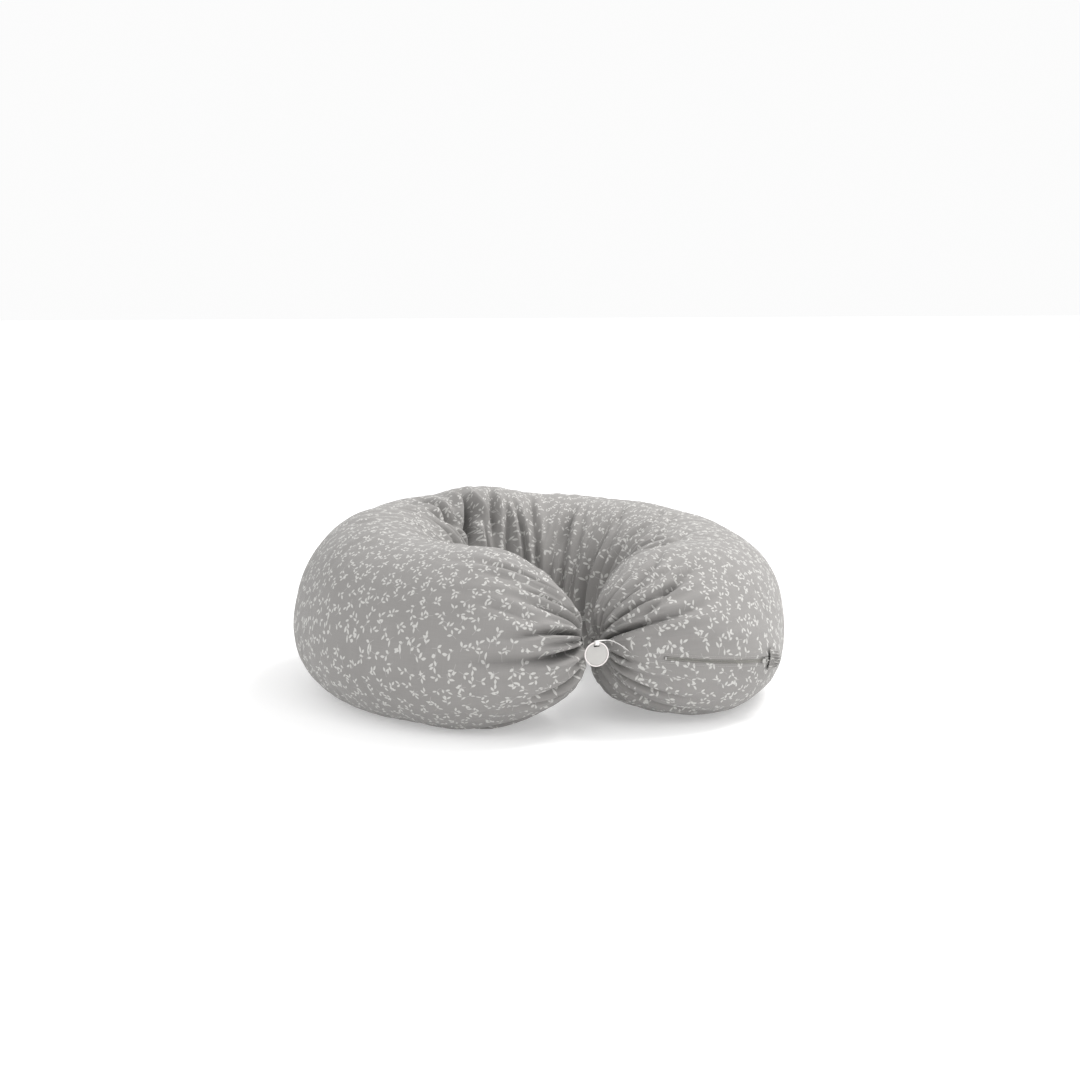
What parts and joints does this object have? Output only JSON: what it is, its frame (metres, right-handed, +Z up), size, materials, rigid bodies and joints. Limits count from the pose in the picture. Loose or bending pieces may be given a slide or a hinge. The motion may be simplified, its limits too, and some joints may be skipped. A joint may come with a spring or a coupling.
{
  "type": "nursing pillow",
  "caption": "Long soft bead-filled pillow bent into a ring, with gathered ends, a curved zip under a fabric hood and a round hang tag on a ribbon.",
  "frame": {"origin": "on the floor, in the middle of the ring's outline seen from above", "axes": "+Z up, from the floor the pillow lies on; +X to the right arm, the one with the zip; -Y towards the opening between the two gathered ends"},
  "size_m": [0.6726, 0.688, 0.2376],
  "materials": {
    "printed_cotton": "warm grey plain-weave cotton with a scattered small white leaf print",
    "casing_cotton": "plain undyed woven cotton",
    "bead_filling": "fine white expanded polystyrene beads",
    "zip_tape_cloth": "grey woven herringbone tape",
    "zip_coil_plastic": "satin grey moulded coil",
    "zip_metal": "grey enamelled die-cast metal",
    "gather_thread": "twisted grey sewing thread",
    "white_ribbon": "white satin ribbon",
    "tag_rim_plastic": "off-white smooth plastic",
    "tag_clear_plastic": "translucent light grey plastic"
  },
  "bodies": {
    "left_half": {"cover_left": "printed_cotton", "casing_left": "casing_cotton", "filling_left": "bead_filling", "left_gather_tuft": "printed_cotton", "left_gather_thread": "gather_thread", "casing_left_tie": "casing_cotton"},
    "right_half": {"cover_right": "printed_cotton", "casing_right": "casing_cotton", "filling_right": "bead_filling", "right_gather_tuft": "printed_cotton", "right_gather_thread": "gather_thread", "casing_right_tie": "casing_cotton", "zip_tape_upper": "zip_tape_cloth", "zip_tape_lower": "zip_tape_cloth", "zip_coil_upper": "zip_coil_plastic", "zip_coil_lower": "zip_coil_plastic", "zip_bottom_stop": "zip_metal", "zip_top_stop_upper": "zip_metal", "zip_top_stop_lower": "zip_metal", "zip_garage": "printed_cotton", "tag_ribbon": "white_ribbon"},
    "slider": {"zip_slider": "zip_metal"},
    "pull": {"zip_pull": "zip_metal"},
    "tag": {"tag_rim": "tag_rim_plastic", "tag_face": "tag_clear_plastic"}
  },
  "joints": [
    {"name": "arms_open", "type": "hinge", "parent": "left_half", "child": "right_half", "pos_m": [-0.00167, 0.34521, 0], "axis": [0, 0, 1], "range_deg": [0, 40]},
    {"name": "zip_slide", "type": "hinge", "parent": "right_half", "child": "slider", "pos_m": [0.10496, -0.16668, 0.08404], "axis": [0.1198, 0.0363, 0.9921], "range_deg": [-47.9, 0]},
    {"name": "pull_flap", "type": "hinge", "parent": "slider", "child": "pull", "pos_m": [0.21985, -0.30423, 0.07519], "axis": [0.1198, 0.0363, 0.9921], "range_deg": [0, 120]},
    {"name": "tag_swing", "type": "hinge", "parent": "right_half", "child": "tag", "pos_m": [-0.01725, -0.33131, 0.1169], "axis": [-1, 0, 0], "range_deg": [0, 70]}
  ]
}
